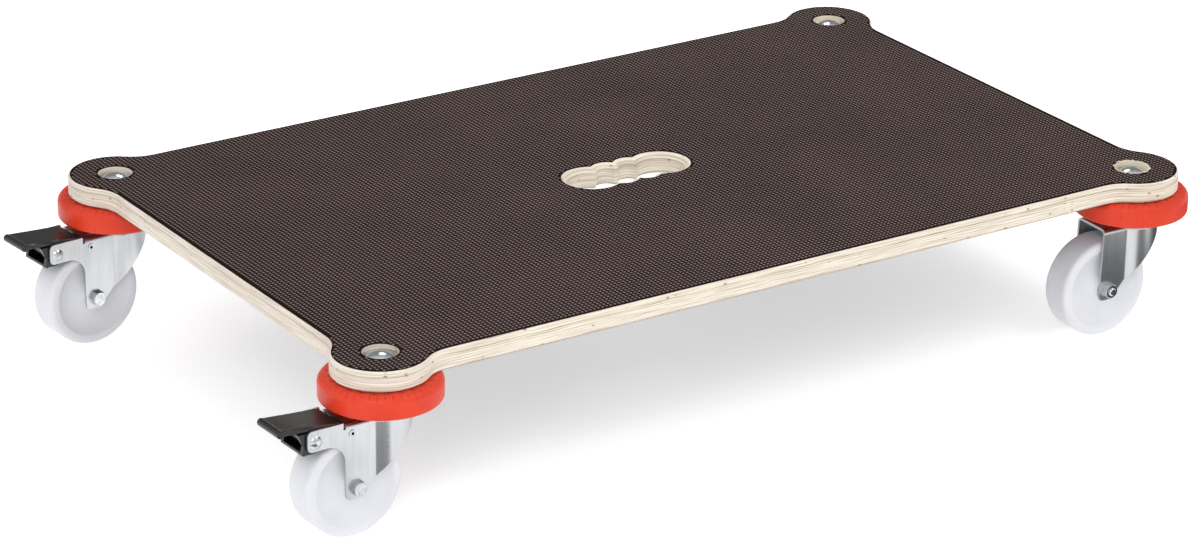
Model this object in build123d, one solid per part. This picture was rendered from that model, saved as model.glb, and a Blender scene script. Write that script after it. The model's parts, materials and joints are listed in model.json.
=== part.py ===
from build123d import *
import os
from math import asin, cos, isclose, pi, radians, sin

# Transport dolly: a plywood deck on four swivel casters, two of them braked.
# Millimetres, +X along the deck, +Z up, floor at Z = 0. The brake end is at -X.
# A caster is built about its own swivel axis, trailing towards +X, then turned and moved to its post.

# Deck
POST_PITCH_X = 858.0
POST_PITCH_Y = 508.0
EDGE_MARGIN = 26.0
LOBE_RADIUS = 46.0
LOBE_BLEND = 38.0
DECK_THICKNESS = 21.0
TOP_FILM = 0.8
BOTTOM_FILM = 0.6
EDGE_EASE = 2.0

# Hand hole
HAND_END_RADIUS = 24.5
HAND_END_SPREAD = 40.0
HAND_SLOT_HALF = 17.0
HAND_EASE = 6.0
HAND_FOOT_EASE = 0.8
FINGER_RADIUS = 11.0
FINGER_PITCH = 26.0
CUSP_TIP_RADIUS = 1.0

# Deck bolts
BOLT_DIAMETER = 10.0
BOLT_HEAD_DIAMETER = 26.0
BOLT_HEAD_HEIGHT = 5.0
BOLT_HEAD_RIM = 0.8
BOLT_HEAD_DEPTH = 1.0
BOLT_NECK_LENGTH = 6.0
BOLT_TAIL = 2.5
BOLT_CLEARANCE = 0.25
WELL_CLEARANCE = 3.9
CLAMP_WASHER_DIAMETER = 20.0
CLAMP_WASHER_THICKNESS = 2.0
CLAMP_NUT_FLATS = 17.0
CLAMP_NUT_HEIGHT = 10.0

# Bumper
BUMPER_RADIUS = 57.0
BUMPER_HEIGHT = 22.5
BUMPER_SHOULDER = 7.5
BUMPER_HEM = 3.0
BUMPER_WALL = 4.0
BUMPER_RIBS = 12
BUMPER_RIB_THICKNESS = 2.5
GROOVE_COUNT = 24
GROOVE_LENGTH = 10.0
GROOVE_WIDTH = 1.2
GROOVE_DEPTH = 0.8

# Wheel and axle
WHEEL_RADIUS = 50.0
TREAD_WIDTH = 34.0
TREAD_CORNER = 5.0
RIM_DEPTH = 9.0
DISH_DEPTH = 5.0
DISH_EASE = 4.0
HUB_RADIUS = 12.0
HUB_PROUD = 1.0
HUB_CLEARANCE = 1.0
TRAIL = 38.0
AXLE_DIAMETER = 8.0
AXLE_FLATS = 13.0
AXLE_HEAD_HEIGHT = 5.3
AXLE_NUT_HEIGHT = 6.5
AXLE_TAIL = 2.0
SLEEVE_WALL = 2.0
SLEEVE_CLEARANCE = 0.1
RUNNING_CLEARANCE = 0.05
BUSH_WALL = 4.0

# Fork
SHEET = 2.5
HEADROOM = 12.0
CROWN_RADIUS = 28.5
CROWN_ROUND = 5.0
CREASE_ROUND = 6.0
LEG_AHEAD = 8.0
LEG_RAKE = 2.5
LEG_BELOW = 10.5
LEG_CORNER = 4.0
LEG_BEHIND = 5.0
HEEL_BEHIND = 10.0
HEEL_BELOW = 3.0
SKIRT_DEPTH = 5.0

# Swivel head
UPPER_BALL_RADIUS = 3.0
UPPER_RACE_RADIUS = 19.5
UPPER_GAP = 3.4
LOWER_BALL_RADIUS = 2.5
LOWER_RACE_RADIUS = 13.5
LOWER_GAP = 2.9
RACE_EDGE = 2.5
CUP_THICKNESS = 4.1
CAP_THICKNESS = 3.0
KING_SLEEVE_WALL = 2.75
KING_CLEARANCE = 0.4
BALL_SEAT = 0.1
BALL_CLEARANCE = 0.3
BALL_SPACING = 1.08

# Brake arms on the fork
ARM_RISE = 1.5
ARM_NOSE = 8.8
ARM_DROP = 8.5
ARM_CORNER = 5.0
ARM_THROAT = 18.0
ARM_LEG_AHEAD = 13.0
ARM_FOOT_AHEAD = 12.0
NOTCH_WIDTH = 2.5
NOTCH_DEPTH = 5.0

# Brake pedal
PEDAL_AHEAD = 23.5
PEDAL_PIVOT_BELOW = 10.0
PEDAL_CLEARANCE = 0.5
PEDAL_PIN_DIAMETER = 8.0
PEDAL_PIN_HEAD = 12.0
PEDAL_PIN_DOME = 2.6
PEDAL_HUB_RADIUS = 8.0
PEDAL_SIDE_GAP = 0.4
TONGUE_THICKNESS = 5.0
TONGUE_EASE = 1.8
TONGUE_ROOT_REACH = 25.0
TONGUE_ROOT_RISE = 12.6
TONGUE_MIDDLE_RISE = 14.6
TONGUE_TIP_REACH = 33.4
TONGUE_TIP_RISE = 17.4
TIP_BEAD_RADIUS = 3.8
TIP_BEAD_PROUD = 0.4
CHEEK_THICKNESS = 4.0
CHEEK_TOP_REACH = 17.0
CHEEK_WAIST_REACH = 11.0
CHEEK_WAIST_DROP = 2.5
LIP_REACH = 12.5
LIP_DROP = 10.0
LIP_POINT = 2.0
LIP_THICKNESS = 2.5
WEB_THICKNESS = 3.0
TOE_REACH = 11.8
TOE_DROP = 2.0
TOE_RADIUS = 2.2
TOE_WIDTH = 16.0

# Brake shoe
SHOE_PIN_AHEAD = 5.2
SHOE_PIN_RISE = 4.3
SHOE_PIN_DIAMETER = 5.0
SHOE_PIN_BORE = 3.0
SHOE_PIN_FLANGE = 7.0
SHOE_PIN_FLANGE_THICKNESS = 0.8
SHOE_HUB_RADIUS = 4.2
SHOE_WIDTH = 22.0
SHOE_LOCK_ANGLE = 12.0
PAD_GAP = 0.4
PAD_THICKNESS = 3.0
PAD_BEHIND = 10.0
PAD_AHEAD = 4.0
SHOE_TIP_RADIUS = 2.2
SHOE_TOE_GAP = 0.4

# Corners: name, sides of the deck, rest angle of the fork, brake, which side the axle head is on
CORNERS = [
    ("rear_left", -1, 1, 4.8, True, 1),
    ("rear_right", -1, -1, 1.6, True, 1),
    ("front_right", 1, -1, -1.6, False, -1),
    ("front_left", 1, 1, 2.0, False, -1),
]

# Heights, from the floor up
AXLE_Z = WHEEL_RADIUS
CROWN_BOTTOM = 2 * WHEEL_RADIUS + HEADROOM
CROWN_TOP = CROWN_BOTTOM + SHEET
CUP_BOTTOM = CROWN_TOP + UPPER_GAP
CUP_TOP = CUP_BOTTOM + CUP_THICKNESS
UPPER_BALL_Z = CROWN_TOP + UPPER_GAP / 2
BUMPER_TOP = CUP_TOP + BUMPER_HEIGHT
CORE_BOTTOM = BUMPER_TOP + BOTTOM_FILM
DECK_TOP = BUMPER_TOP + DECK_THICKNESS
CORE_TOP = DECK_TOP - TOP_FILM
CAP_TOP = CROWN_BOTTOM - LOWER_GAP
CAP_BOTTOM = CAP_TOP - CAP_THICKNESS
LOWER_BALL_Z = CROWN_BOTTOM - LOWER_GAP / 2
CLAMP_NUT_TOP = CAP_BOTTOM - CLAMP_WASHER_THICKNESS
CLAMP_NUT_BOTTOM = CLAMP_NUT_TOP - CLAMP_NUT_HEIGHT
HEAD_TOP = DECK_TOP - BOLT_HEAD_DEPTH
WELL_FLOOR = HEAD_TOP - BOLT_HEAD_HEIGHT

# Widths and radii that follow from the fits
BOLT_RADIUS = BOLT_DIAMETER / 2
BOLT_HOLE_RADIUS = BOLT_RADIUS + BOLT_CLEARANCE
WELL_RADIUS = BOLT_HEAD_DIAMETER / 2 + WELL_CLEARANCE
FINGER_Y = HAND_END_RADIUS - FINGER_RADIUS
CUP_RADIUS = UPPER_RACE_RADIUS + UPPER_BALL_RADIUS + RACE_EDGE
CAP_RADIUS = LOWER_RACE_RADIUS + LOWER_BALL_RADIUS + RACE_EDGE
KING_SLEEVE_RADIUS = BOLT_HOLE_RADIUS + KING_SLEEVE_WALL
HUB_WIDTH = TREAD_WIDTH + 2 * HUB_PROUD
LEG_INNER = HUB_WIDTH / 2 + HUB_CLEARANCE
LEG_OUTER = LEG_INNER + SHEET
PEDAL_WIDTH = 2 * (LEG_INNER - PEDAL_CLEARANCE)
AXLE_RADIUS = AXLE_DIAMETER / 2
AXLE_HOLE_RADIUS = AXLE_RADIUS + SLEEVE_CLEARANCE
AXLE_SLEEVE_RADIUS = AXLE_HOLE_RADIUS + SLEEVE_WALL
BUSH_BORE_RADIUS = AXLE_SLEEVE_RADIUS + RUNNING_CLEARANCE
BUSH_RADIUS = BUSH_BORE_RADIUS + BUSH_WALL

# Brake places, in the caster's side view
PIVOT_X = BUMPER_RADIUS + PEDAL_AHEAD
PIVOT_Z = CROWN_TOP - PEDAL_PIVOT_BELOW
SHOE_PIN_X = TRAIL + SHOE_PIN_AHEAD
SHOE_PIN_Z = 2 * WHEEL_RADIUS + SHOE_PIN_RISE
TOE_X = PIVOT_X - TOE_REACH
TOE_Z = PIVOT_Z - TOE_DROP
SHOE_TIP_Z = TOE_Z + TOE_RADIUS + SHOE_TOE_GAP + SHOE_TIP_RADIUS

POSTS = [(side_x * POST_PITCH_X / 2, side_y * POST_PITCH_Y / 2) for _, side_x, side_y, *_ in CORNERS]


def rod(radius, bottom, top, x=0.0, y=0.0):
    """A vertical cylinder between two heights."""
    return Pos(x, y, bottom) * Cylinder(radius, top - bottom, align=(Align.CENTER, Align.CENTER, Align.MIN))


def cross_rod(radius, start, end, x, z):
    """A cylinder along Y between two offsets from the caster's middle."""
    disc = Pos(x, start, z) * Rot(-90, 0, 0) * Circle(radius)
    return extrude(disc, amount=end - start)


def across(profile, start, end):
    """A side-view profile, drawn in X and Z, given thickness from one Y offset to another."""
    return Pos(0, end, 0) * extrude(Plane.XZ * profile, amount=end - start)


def round_corner(face, corner, radius):
    """The face with its corner nearest to a point rounded."""
    return fillet(face.vertices().sort_by_distance(corner)[0], radius)


def ring_of_balls(ball_radius, race_radius, height):
    """Balls spaced round a race."""
    count = int(2 * pi * race_radius / (2 * ball_radius * BALL_SPACING))
    ball = Pos(race_radius, 0, height) * Sphere(ball_radius)
    return [Rot(0, 0, turn * 360 / count) * ball for turn in range(count)]


def groove(ball_radius, race_radius, height, clearance):
    """The ring that balls sweep, with clearance, as a cutter."""
    return Pos(0, 0, height) * Torus(race_radius, ball_radius + clearance)


def hexagon_prism(flats, bottom, top):
    """A hexagonal prism between two heights."""
    plan = RegularPolygon(flats / 2, 6, major_radius=False)
    return Pos(0, 0, bottom) * extrude(plan, amount=top - bottom)


def hexagon_rounded(flats, bottom, top, both_ends):
    """A hexagonal prism whose corners are turned off at its top, or at both ends."""
    corner_radius = flats / 2 / cos(radians(30))
    corner_depth = corner_radius - flats / 2
    turned = rod(corner_radius, bottom, top)
    ends = turned.edges().filter_by(GeomType.CIRCLE).sort_by(Axis.Z)
    chosen = ends if both_ends else ends[-1:]
    return hexagon_prism(flats, bottom, top) & chamfer(chosen, corner_depth / 2, corner_depth)


# Deck

def deck_outline(inset):
    """Plan of the deck: a rectangle with a round lobe at each post, blended in."""
    length = POST_PITCH_X + 2 * (EDGE_MARGIN - inset)
    width = POST_PITCH_Y + 2 * (EDGE_MARGIN - inset)
    plan = Rectangle(length, width)
    for x, y in POSTS:
        plan += Pos(x, y) * Circle(LOBE_RADIUS - inset)
    joins = [v for v in plan.vertices() if isclose(abs(v.X), length / 2) or isclose(abs(v.Y), width / 2)]
    return fillet(joins, LOBE_BLEND + inset)


def hand_rounds():
    """The circles that make up the hand hole, as centre and radius: two ends and four finger scallops."""
    rounds = []
    for side_x in (-1, 1):
        rounds.append(((side_x * HAND_END_SPREAD, 0), HAND_END_RADIUS))
        for side_y in (-1, 1):
            rounds.append(((side_x * FINGER_PITCH / 2, side_y * FINGER_Y), FINGER_RADIUS))
    return rounds


def hand_hole_outline(outset):
    """Plan of the hand hole: two round ends, with finger scallops along both long sides."""
    plan = Rectangle(2 * HAND_END_SPREAD, 2 * (HAND_SLOT_HALF + outset))
    for centre, radius in hand_rounds():
        plan += Pos(*centre) * Circle(radius + outset)
    cusps = [v for v in plan.vertices() if abs(v.X) < HAND_END_SPREAD]
    return fillet(cusps, CUSP_TIP_RADIUS)


def eased_half(half):
    """Half the section of an opening in the core: a wide quarter round above, a small one below."""
    flare = HAND_EASE * (1 - cos(radians(45)))
    ease = HAND_FOOT_EASE * (1 - cos(radians(45)))
    wide = (half + HAND_EASE, CORE_TOP)
    neck_top = (half, CORE_TOP - HAND_EASE)
    neck_bottom = (half, CORE_BOTTOM + HAND_FOOT_EASE)
    foot = (half + HAND_FOOT_EASE, CORE_BOTTOM)
    return make_face([
        Line((0, CORE_BOTTOM), foot),
        ThreePointArc(foot, (half + ease, CORE_BOTTOM + ease), neck_bottom),
        Line(neck_bottom, neck_top),
        ThreePointArc(neck_top, (half + flare, CORE_TOP - flare), wide),
        Line(wide, (0, CORE_TOP)),
        Line((0, CORE_TOP), (0, CORE_BOTTOM)),
    ])


def hand_hole():
    """Cutter for the hand hole through the core."""
    side = extrude(Plane.YZ * eased_half(HAND_SLOT_HALF), amount=HAND_END_SPREAD, both=True)
    cutter = side + Rot(0, 0, 180) * side
    for centre, radius in hand_rounds():
        cutter += Pos(*centre) * revolve(Plane.XZ * eased_half(radius), Axis.Z)
    return cutter


def square_neck(side):
    """The square part of a deck bolt, just under its head."""
    neck = Box(side, side, BOLT_NECK_LENGTH, align=(Align.CENTER, Align.CENTER, Align.MAX))
    return Pos(0, 0, WELL_FLOOR) * neck


def deck_core():
    """Plywood core with eased edges, bolt wells and square-necked bolt holes."""
    slab = Pos(0, 0, CORE_BOTTOM) * extrude(deck_outline(0), amount=CORE_TOP - CORE_BOTTOM)
    rims = slab.edges().group_by(Axis.Z)
    core = fillet(rims[0] + rims[-1], EDGE_EASE) - hand_hole()
    neck = square_neck(BOLT_DIAMETER + 2 * BOLT_CLEARANCE)
    for x, y in POSTS:
        core -= rod(WELL_RADIUS, WELL_FLOOR, DECK_TOP, x, y)
        core -= rod(BOLT_HOLE_RADIUS, BUMPER_TOP, WELL_FLOOR, x, y)
        core -= Pos(x, y, 0) * neck
    return core


def deck_film(bottom, thickness, hand_ease, hole_radius):
    """A thin facing on the flat of the core, open at the hand hole and the bolts."""
    plan = deck_outline(EDGE_EASE) - hand_hole_outline(hand_ease)
    for x, y in POSTS:
        plan -= Pos(x, y) * Circle(hole_radius)
    return Pos(0, 0, bottom) * extrude(plan, amount=thickness)


def deck_bolt():
    """Mushroom-head bolt with a square neck, from its well to below the lock nut."""
    head_radius = BOLT_HEAD_DIAMETER / 2
    dome_height = BOLT_HEAD_HEIGHT - BOLT_HEAD_RIM
    dome_radius = (head_radius**2 + dome_height**2) / (2 * dome_height)
    dome = Pos(0, 0, HEAD_TOP - dome_radius) * Sphere(dome_radius)
    head = rod(head_radius, WELL_FLOOR, HEAD_TOP + BOLT_HEAD_HEIGHT) & dome
    shank = rod(BOLT_RADIUS, CLAMP_NUT_BOTTOM - BOLT_TAIL, WELL_FLOOR)
    return head + square_neck(BOLT_DIAMETER) + shank


def clamp_washer():
    """Washer under the lower cap of a swivel head."""
    disc = rod(CLAMP_WASHER_DIAMETER / 2, CLAMP_NUT_TOP, CAP_BOTTOM)
    return disc - rod(BOLT_HOLE_RADIUS, CLAMP_NUT_TOP, CAP_BOTTOM)


def clamp_nut():
    """Lock nut that draws bumper and swivel head up against the deck."""
    nut = hexagon_rounded(CLAMP_NUT_FLATS, CLAMP_NUT_BOTTOM, CLAMP_NUT_TOP, both_ends=True)
    return nut - rod(BOLT_RADIUS, CLAMP_NUT_BOTTOM, CLAMP_NUT_TOP)


# Bumper

def bumper():
    """Round moulded bumper, hollow and ribbed below, with short grooves on its shoulder."""
    disc = rod(BUMPER_RADIUS, CUP_TOP, BUMPER_TOP)
    rims = disc.edges().filter_by(GeomType.CIRCLE).sort_by(Axis.Z)
    disc = fillet(rims[-1], BUMPER_SHOULDER)
    disc = fillet(disc.edges().filter_by(GeomType.CIRCLE).sort_by(Axis.Z)[0], BUMPER_HEM)
    hub_radius = CUP_RADIUS + BUMPER_WALL
    pocket_radius = BUMPER_RADIUS - BUMPER_SHOULDER
    pocket = rod(pocket_radius, CUP_TOP, BUMPER_TOP - BUMPER_WALL)
    pocket -= rod(hub_radius, CUP_TOP, BUMPER_TOP)
    for turn in range(BUMPER_RIBS):
        seat = (Align.MIN, Align.CENTER, Align.MIN)
        rib = Box(pocket_radius, BUMPER_RIB_THICKNESS, BUMPER_HEIGHT, align=seat)
        pocket -= Rot(0, 0, turn * 360 / BUMPER_RIBS) * Pos(0, 0, CUP_TOP) * rib
    body = disc - pocket - rod(BOLT_HOLE_RADIUS, CUP_TOP, BUMPER_TOP)
    groove_end = BUMPER_RADIUS - BUMPER_SHOULDER + GROOVE_DEPTH
    inwards = (Align.MAX, Align.CENTER, Align.CENTER)
    cutter = Box(GROOVE_LENGTH, GROOVE_WIDTH, 2 * GROOVE_DEPTH, align=inwards)
    first = Pos(groove_end, 0, BUMPER_TOP) * cutter
    return body - [Rot(0, 0, (turn + 0.5) * 360 / GROOVE_COUNT) * first for turn in range(GROOVE_COUNT)]


# Swivel head

def top_cup():
    """Fixed upper race, against the bumper."""
    cup = rod(CUP_RADIUS, CUP_BOTTOM, CUP_TOP) - rod(BOLT_HOLE_RADIUS, CUP_BOTTOM, CUP_TOP)
    return cup - groove(UPPER_BALL_RADIUS, UPPER_RACE_RADIUS, UPPER_BALL_Z, BALL_CLEARANCE)


def lower_cap():
    """Fixed lower race, inside the fork."""
    cap = rod(CAP_RADIUS, CAP_BOTTOM, CAP_TOP) - rod(BOLT_HOLE_RADIUS, CAP_BOTTOM, CAP_TOP)
    return cap - groove(LOWER_BALL_RADIUS, LOWER_RACE_RADIUS, LOWER_BALL_Z, BALL_CLEARANCE)


def swivel_sleeve():
    """Spacer on the bolt that sets the running gap between the two races."""
    return rod(KING_SLEEVE_RADIUS, CAP_TOP, CUP_BOTTOM) - rod(BOLT_HOLE_RADIUS, CAP_TOP, CUP_BOTTOM)


def swivel_balls():
    """Both rings of balls, carried by the fork's crown."""
    upper = ring_of_balls(UPPER_BALL_RADIUS, UPPER_RACE_RADIUS, UPPER_BALL_Z)
    lower = ring_of_balls(LOWER_BALL_RADIUS, LOWER_RACE_RADIUS, LOWER_BALL_Z)
    return Compound(upper + lower)


# Fork

def crown_plan(offset_in, front):
    """Plan of the fork: a round crown running into two parallel legs."""
    radius = CROWN_RADIUS - offset_in
    half_width = LEG_OUTER - offset_in
    plan = Circle(radius) + Pos(front / 2, 0) * Rectangle(front, 2 * half_width)
    creases = [v for v in plan.vertices() if 0 < v.X < front and isclose(abs(v.Y), half_width)]
    return fillet(creases, CREASE_ROUND + offset_in)


def fork_side(front, rake):
    """Side view of the fork: raked front edge, square foot, and a rear edge straight up to the skirt."""
    foot = AXLE_Z - LEG_BELOW
    toe = (front + rake, foot)
    outline = [
        (front, CROWN_TOP),
        toe,
        (TRAIL - LEG_BEHIND, foot),
        (TRAIL - HEEL_BEHIND, AXLE_Z - HEEL_BELOW),
        (-CROWN_RADIUS, CROWN_TOP - SKIRT_DEPTH),
        (-CROWN_RADIUS, CROWN_TOP),
    ]
    return round_corner(make_face(Polyline(*outline, close=True)), toe, LEG_CORNER)


def fork_shell(front, rake):
    """Pressed shell of the fork: top plate, round back and two legs, open in front and below."""
    overrun = 2 * CROWN_ROUND + rake
    outer = extrude(crown_plan(0, front + overrun), amount=CROWN_TOP)
    outer = fillet(outer.edges().group_by(Axis.Z)[-1], CROWN_ROUND)
    inner = extrude(crown_plan(SHEET, front + 2 * overrun), amount=CROWN_BOTTOM)
    inner = fillet(inner.edges().group_by(Axis.Z)[-1], CROWN_ROUND - SHEET)
    return (outer - inner) & across(fork_side(front, rake), -CROWN_RADIUS, CROWN_RADIUS)


def fork_bores(shell):
    """The fork with its axle holes, king hole and ball grooves."""
    shell -= cross_rod(AXLE_HOLE_RADIUS, -LEG_OUTER, LEG_OUTER, TRAIL, AXLE_Z)
    shell -= rod(KING_SLEEVE_RADIUS + KING_CLEARANCE, CROWN_BOTTOM, CROWN_TOP)
    shell -= groove(UPPER_BALL_RADIUS, UPPER_RACE_RADIUS, UPPER_BALL_Z, BALL_SEAT)
    return shell - groove(LOWER_BALL_RADIUS, LOWER_RACE_RADIUS, LOWER_BALL_Z, BALL_SEAT)


def plain_fork():
    """Fork without a brake."""
    return fork_bores(fork_shell(TRAIL + LEG_AHEAD, LEG_RAKE))


def brake_arm_side():
    """Side view of one leg of a braked fork, with the arm that carries the pedal."""
    foot = AXLE_Z - LEG_BELOW
    arm_back = TRAIL + ARM_LEG_AHEAD + NOTCH_WIDTH / 2
    arm_top = CROWN_TOP + ARM_RISE
    arm_end = PIVOT_X + ARM_NOSE
    arm_bottom = PIVOT_Z - ARM_DROP
    leg_top = CROWN_TOP - NOTCH_DEPTH
    rear = TRAIL - HEEL_BEHIND
    corners = [
        (arm_back, arm_top),
        (arm_back, leg_top),
        (rear, leg_top),
        (rear, AXLE_Z - HEEL_BELOW),
        (TRAIL - LEG_BEHIND, foot),
        (TRAIL + ARM_FOOT_AHEAD, foot),
        (TRAIL + ARM_LEG_AHEAD, arm_bottom),
        (arm_end, arm_bottom),
        (arm_end, arm_top),
    ]
    face = Polygon(*corners)
    face = round_corner(face, (TRAIL + ARM_FOOT_AHEAD, foot), LEG_CORNER)
    face = round_corner(face, (TRAIL + ARM_LEG_AHEAD, arm_bottom), ARM_THROAT)
    face = round_corner(face, (arm_end, arm_bottom), ARM_CORNER)
    return round_corner(face, (arm_end, arm_top), ARM_CORNER)


def brake_fork():
    """Fork whose legs reach forward as two arms, with a pin hole in each."""
    shell = fork_shell(TRAIL + ARM_LEG_AHEAD - NOTCH_WIDTH / 2, 0)
    arm = brake_arm_side()
    shell += across(arm, LEG_INNER, LEG_OUTER)
    shell += across(arm, -LEG_OUTER, -LEG_INNER)
    shell -= cross_rod(PEDAL_PIN_DIAMETER / 2, -LEG_OUTER, LEG_OUTER, PIVOT_X, PIVOT_Z)
    shell -= cross_rod(SHOE_PIN_DIAMETER / 2, -LEG_OUTER, LEG_OUTER, SHOE_PIN_X, SHOE_PIN_Z)
    return fork_bores(shell)


# Wheel and axle

def wheel():
    """Solid wheel: rounded tread, faces hollowed like a bowl and a hub that stands a little proud."""
    half_tread = TREAD_WIDTH / 2
    rim = WHEEL_RADIUS - RIM_DEPTH
    body = cross_rod(WHEEL_RADIUS, -half_tread, half_tread, TRAIL, AXLE_Z)
    body = fillet(body.edges().filter_by(GeomType.CIRCLE), TREAD_CORNER)
    for side in (-1, 1):
        face = side * half_tread
        floor = ((BUSH_RADIUS + rim) / 2, side * (half_tread - DISH_DEPTH))
        inner = (BUSH_RADIUS, face)
        outer = (rim, face)
        bowl = make_face([ThreePointArc(inner, floor, outer), Line(outer, inner)])
        body -= Pos(TRAIL, 0, AXLE_Z) * revolve(bowl, Axis.Y)
    lips = [e for e in body.edges().filter_by(GeomType.CIRCLE) if isclose(e.radius, rim, abs_tol=0.01)]
    body = fillet(lips, DISH_EASE)
    body += cross_rod(HUB_RADIUS, -HUB_WIDTH / 2, HUB_WIDTH / 2, TRAIL, AXLE_Z)
    return body - cross_rod(BUSH_RADIUS, -HUB_WIDTH / 2, HUB_WIDTH / 2, TRAIL, AXLE_Z)


def wheel_bush():
    """Bearing bush in the wheel's hub."""
    bush = cross_rod(BUSH_RADIUS, -HUB_WIDTH / 2, HUB_WIDTH / 2, TRAIL, AXLE_Z)
    return bush - cross_rod(BUSH_BORE_RADIUS, -HUB_WIDTH / 2, HUB_WIDTH / 2, TRAIL, AXLE_Z)


def axle_sleeve():
    """Tube clamped between the legs, on which the bush runs."""
    tube = cross_rod(AXLE_SLEEVE_RADIUS, -LEG_INNER, LEG_INNER, TRAIL, AXLE_Z)
    return tube - cross_rod(AXLE_HOLE_RADIUS, -LEG_INNER, LEG_INNER, TRAIL, AXLE_Z)


def on_axle(shape, head_side):
    """A piece built upwards along Z, laid on the axle with its top towards one side."""
    return Pos(TRAIL, 0, AXLE_Z) * Rot(-90 * head_side, 0, 0) * shape


def axle_bolt(head_side):
    """Hexagon bolt through both legs."""
    head = hexagon_rounded(AXLE_FLATS, LEG_OUTER, LEG_OUTER + AXLE_HEAD_HEIGHT, both_ends=False)
    shank = rod(AXLE_RADIUS, -LEG_OUTER - AXLE_NUT_HEIGHT - AXLE_TAIL, LEG_OUTER)
    tail = shank.edges().filter_by(GeomType.CIRCLE).sort_by(Axis.Z)[0]
    return on_axle(head + chamfer(tail, AXLE_RADIUS / 4), head_side)


def axle_nut(head_side):
    """Lock nut on the axle bolt."""
    nut = hexagon_rounded(AXLE_FLATS, -LEG_OUTER - AXLE_NUT_HEIGHT, -LEG_OUTER, both_ends=True)
    return on_axle(nut - rod(AXLE_RADIUS, -LEG_OUTER - AXLE_NUT_HEIGHT, -LEG_OUTER), head_side)


# Brake

def pedal_pin():
    """Rivet with two domed heads, through both arms and the pedal."""
    pin = cross_rod(PEDAL_PIN_DIAMETER / 2, -LEG_OUTER, LEG_OUTER, PIVOT_X, PIVOT_Z)
    head_radius = PEDAL_PIN_HEAD / 2
    dome_radius = (head_radius**2 + PEDAL_PIN_DOME**2) / (2 * PEDAL_PIN_DOME)
    for side in (-1, 1):
        seat = side * LEG_OUTER
        outer = side * (LEG_OUTER + 2 * PEDAL_PIN_DOME)
        blank = cross_rod(head_radius, min(seat, outer), max(seat, outer), PIVOT_X, PIVOT_Z)
        centre = side * (LEG_OUTER + PEDAL_PIN_DOME - dome_radius)
        pin += blank & Pos(PIVOT_X, centre, PIVOT_Z) * Sphere(dome_radius)
    return pin


def tongue_side():
    """Side view of the foot plate: a shallow curve that rises to its tip."""
    root = (PIVOT_X - TONGUE_ROOT_REACH, PIVOT_Z + TONGUE_ROOT_RISE)
    middle = (PIVOT_X, PIVOT_Z + TONGUE_MIDDLE_RISE)
    tip = (PIVOT_X + TONGUE_TIP_REACH, PIVOT_Z + TONGUE_TIP_RISE)
    below = [(x, z - TONGUE_THICKNESS) for x, z in (root, middle, tip)]
    return make_face([
        ThreePointArc(root, middle, tip),
        Line(tip, below[2]),
        ThreePointArc(below[2], below[1], below[0]),
        Line(below[0], root),
    ])


def foot_plate(half):
    """The plate under the foot, with eased long edges and a thicker rounded nose."""
    plate = across(tongue_side(), -half, half)
    sides = plate.faces().sort_by(Axis.Y)
    plate = fillet(sides[0].edges() + sides[-1].edges(), TONGUE_EASE)
    bead_z = PIVOT_Z + TONGUE_TIP_RISE + TIP_BEAD_PROUD - TIP_BEAD_RADIUS
    bead = cross_rod(TIP_BEAD_RADIUS, -half, half, PIVOT_X + TONGUE_TIP_REACH, bead_z)
    return plate + fillet(bead.edges().filter_by(GeomType.CIRCLE), TONGUE_EASE)


def cheek_side():
    """Side view of one cheek of the pedal, from under the foot plate down to the release lip."""
    under = PIVOT_Z + TONGUE_MIDDLE_RISE - TONGUE_THICKNESS
    face = Polygon(
        (PIVOT_X - PEDAL_HUB_RADIUS, under),
        (PIVOT_X - PEDAL_HUB_RADIUS, PIVOT_Z),
        (PIVOT_X + LIP_REACH - LIP_POINT, PIVOT_Z - LIP_DROP - LIP_POINT),
        (PIVOT_X + LIP_REACH, PIVOT_Z - LIP_DROP),
        (PIVOT_X + CHEEK_WAIST_REACH, PIVOT_Z - CHEEK_WAIST_DROP),
        (PIVOT_X + CHEEK_TOP_REACH, under),
    )
    return face + Pos(PIVOT_X, PIVOT_Z) * Circle(PEDAL_HUB_RADIUS)


def lip_side():
    """Side view of the plate between the cheeks: a back web that runs out into the release lip."""
    under = PIVOT_Z + TONGUE_MIDDLE_RISE - TONGUE_THICKNESS
    lip_top = PIVOT_Z - LIP_DROP + LIP_THICKNESS / 2
    lip_bottom = lip_top - LIP_THICKNESS
    web = Pos(PIVOT_X, (under + lip_bottom) / 2) * Rectangle(WEB_THICKNESS, under - lip_bottom)
    lip = Polygon(
        (PIVOT_X - WEB_THICKNESS / 2, lip_bottom),
        (PIVOT_X + LIP_REACH, lip_bottom),
        (PIVOT_X + LIP_REACH, lip_top),
        (PIVOT_X - WEB_THICKNESS / 2, lip_top),
    )
    return web + lip


def toe_side():
    """Side view of the toe behind the pivot, which lifts the shoe lever."""
    arm = Polygon(
        (PIVOT_X, PIVOT_Z + TOE_RADIUS),
        (TOE_X, TOE_Z + TOE_RADIUS),
        (TOE_X, TOE_Z - TOE_RADIUS),
        (PIVOT_X, PIVOT_Z - TOE_RADIUS),
    )
    return arm + Pos(TOE_X, TOE_Z) * Circle(TOE_RADIUS)


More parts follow.
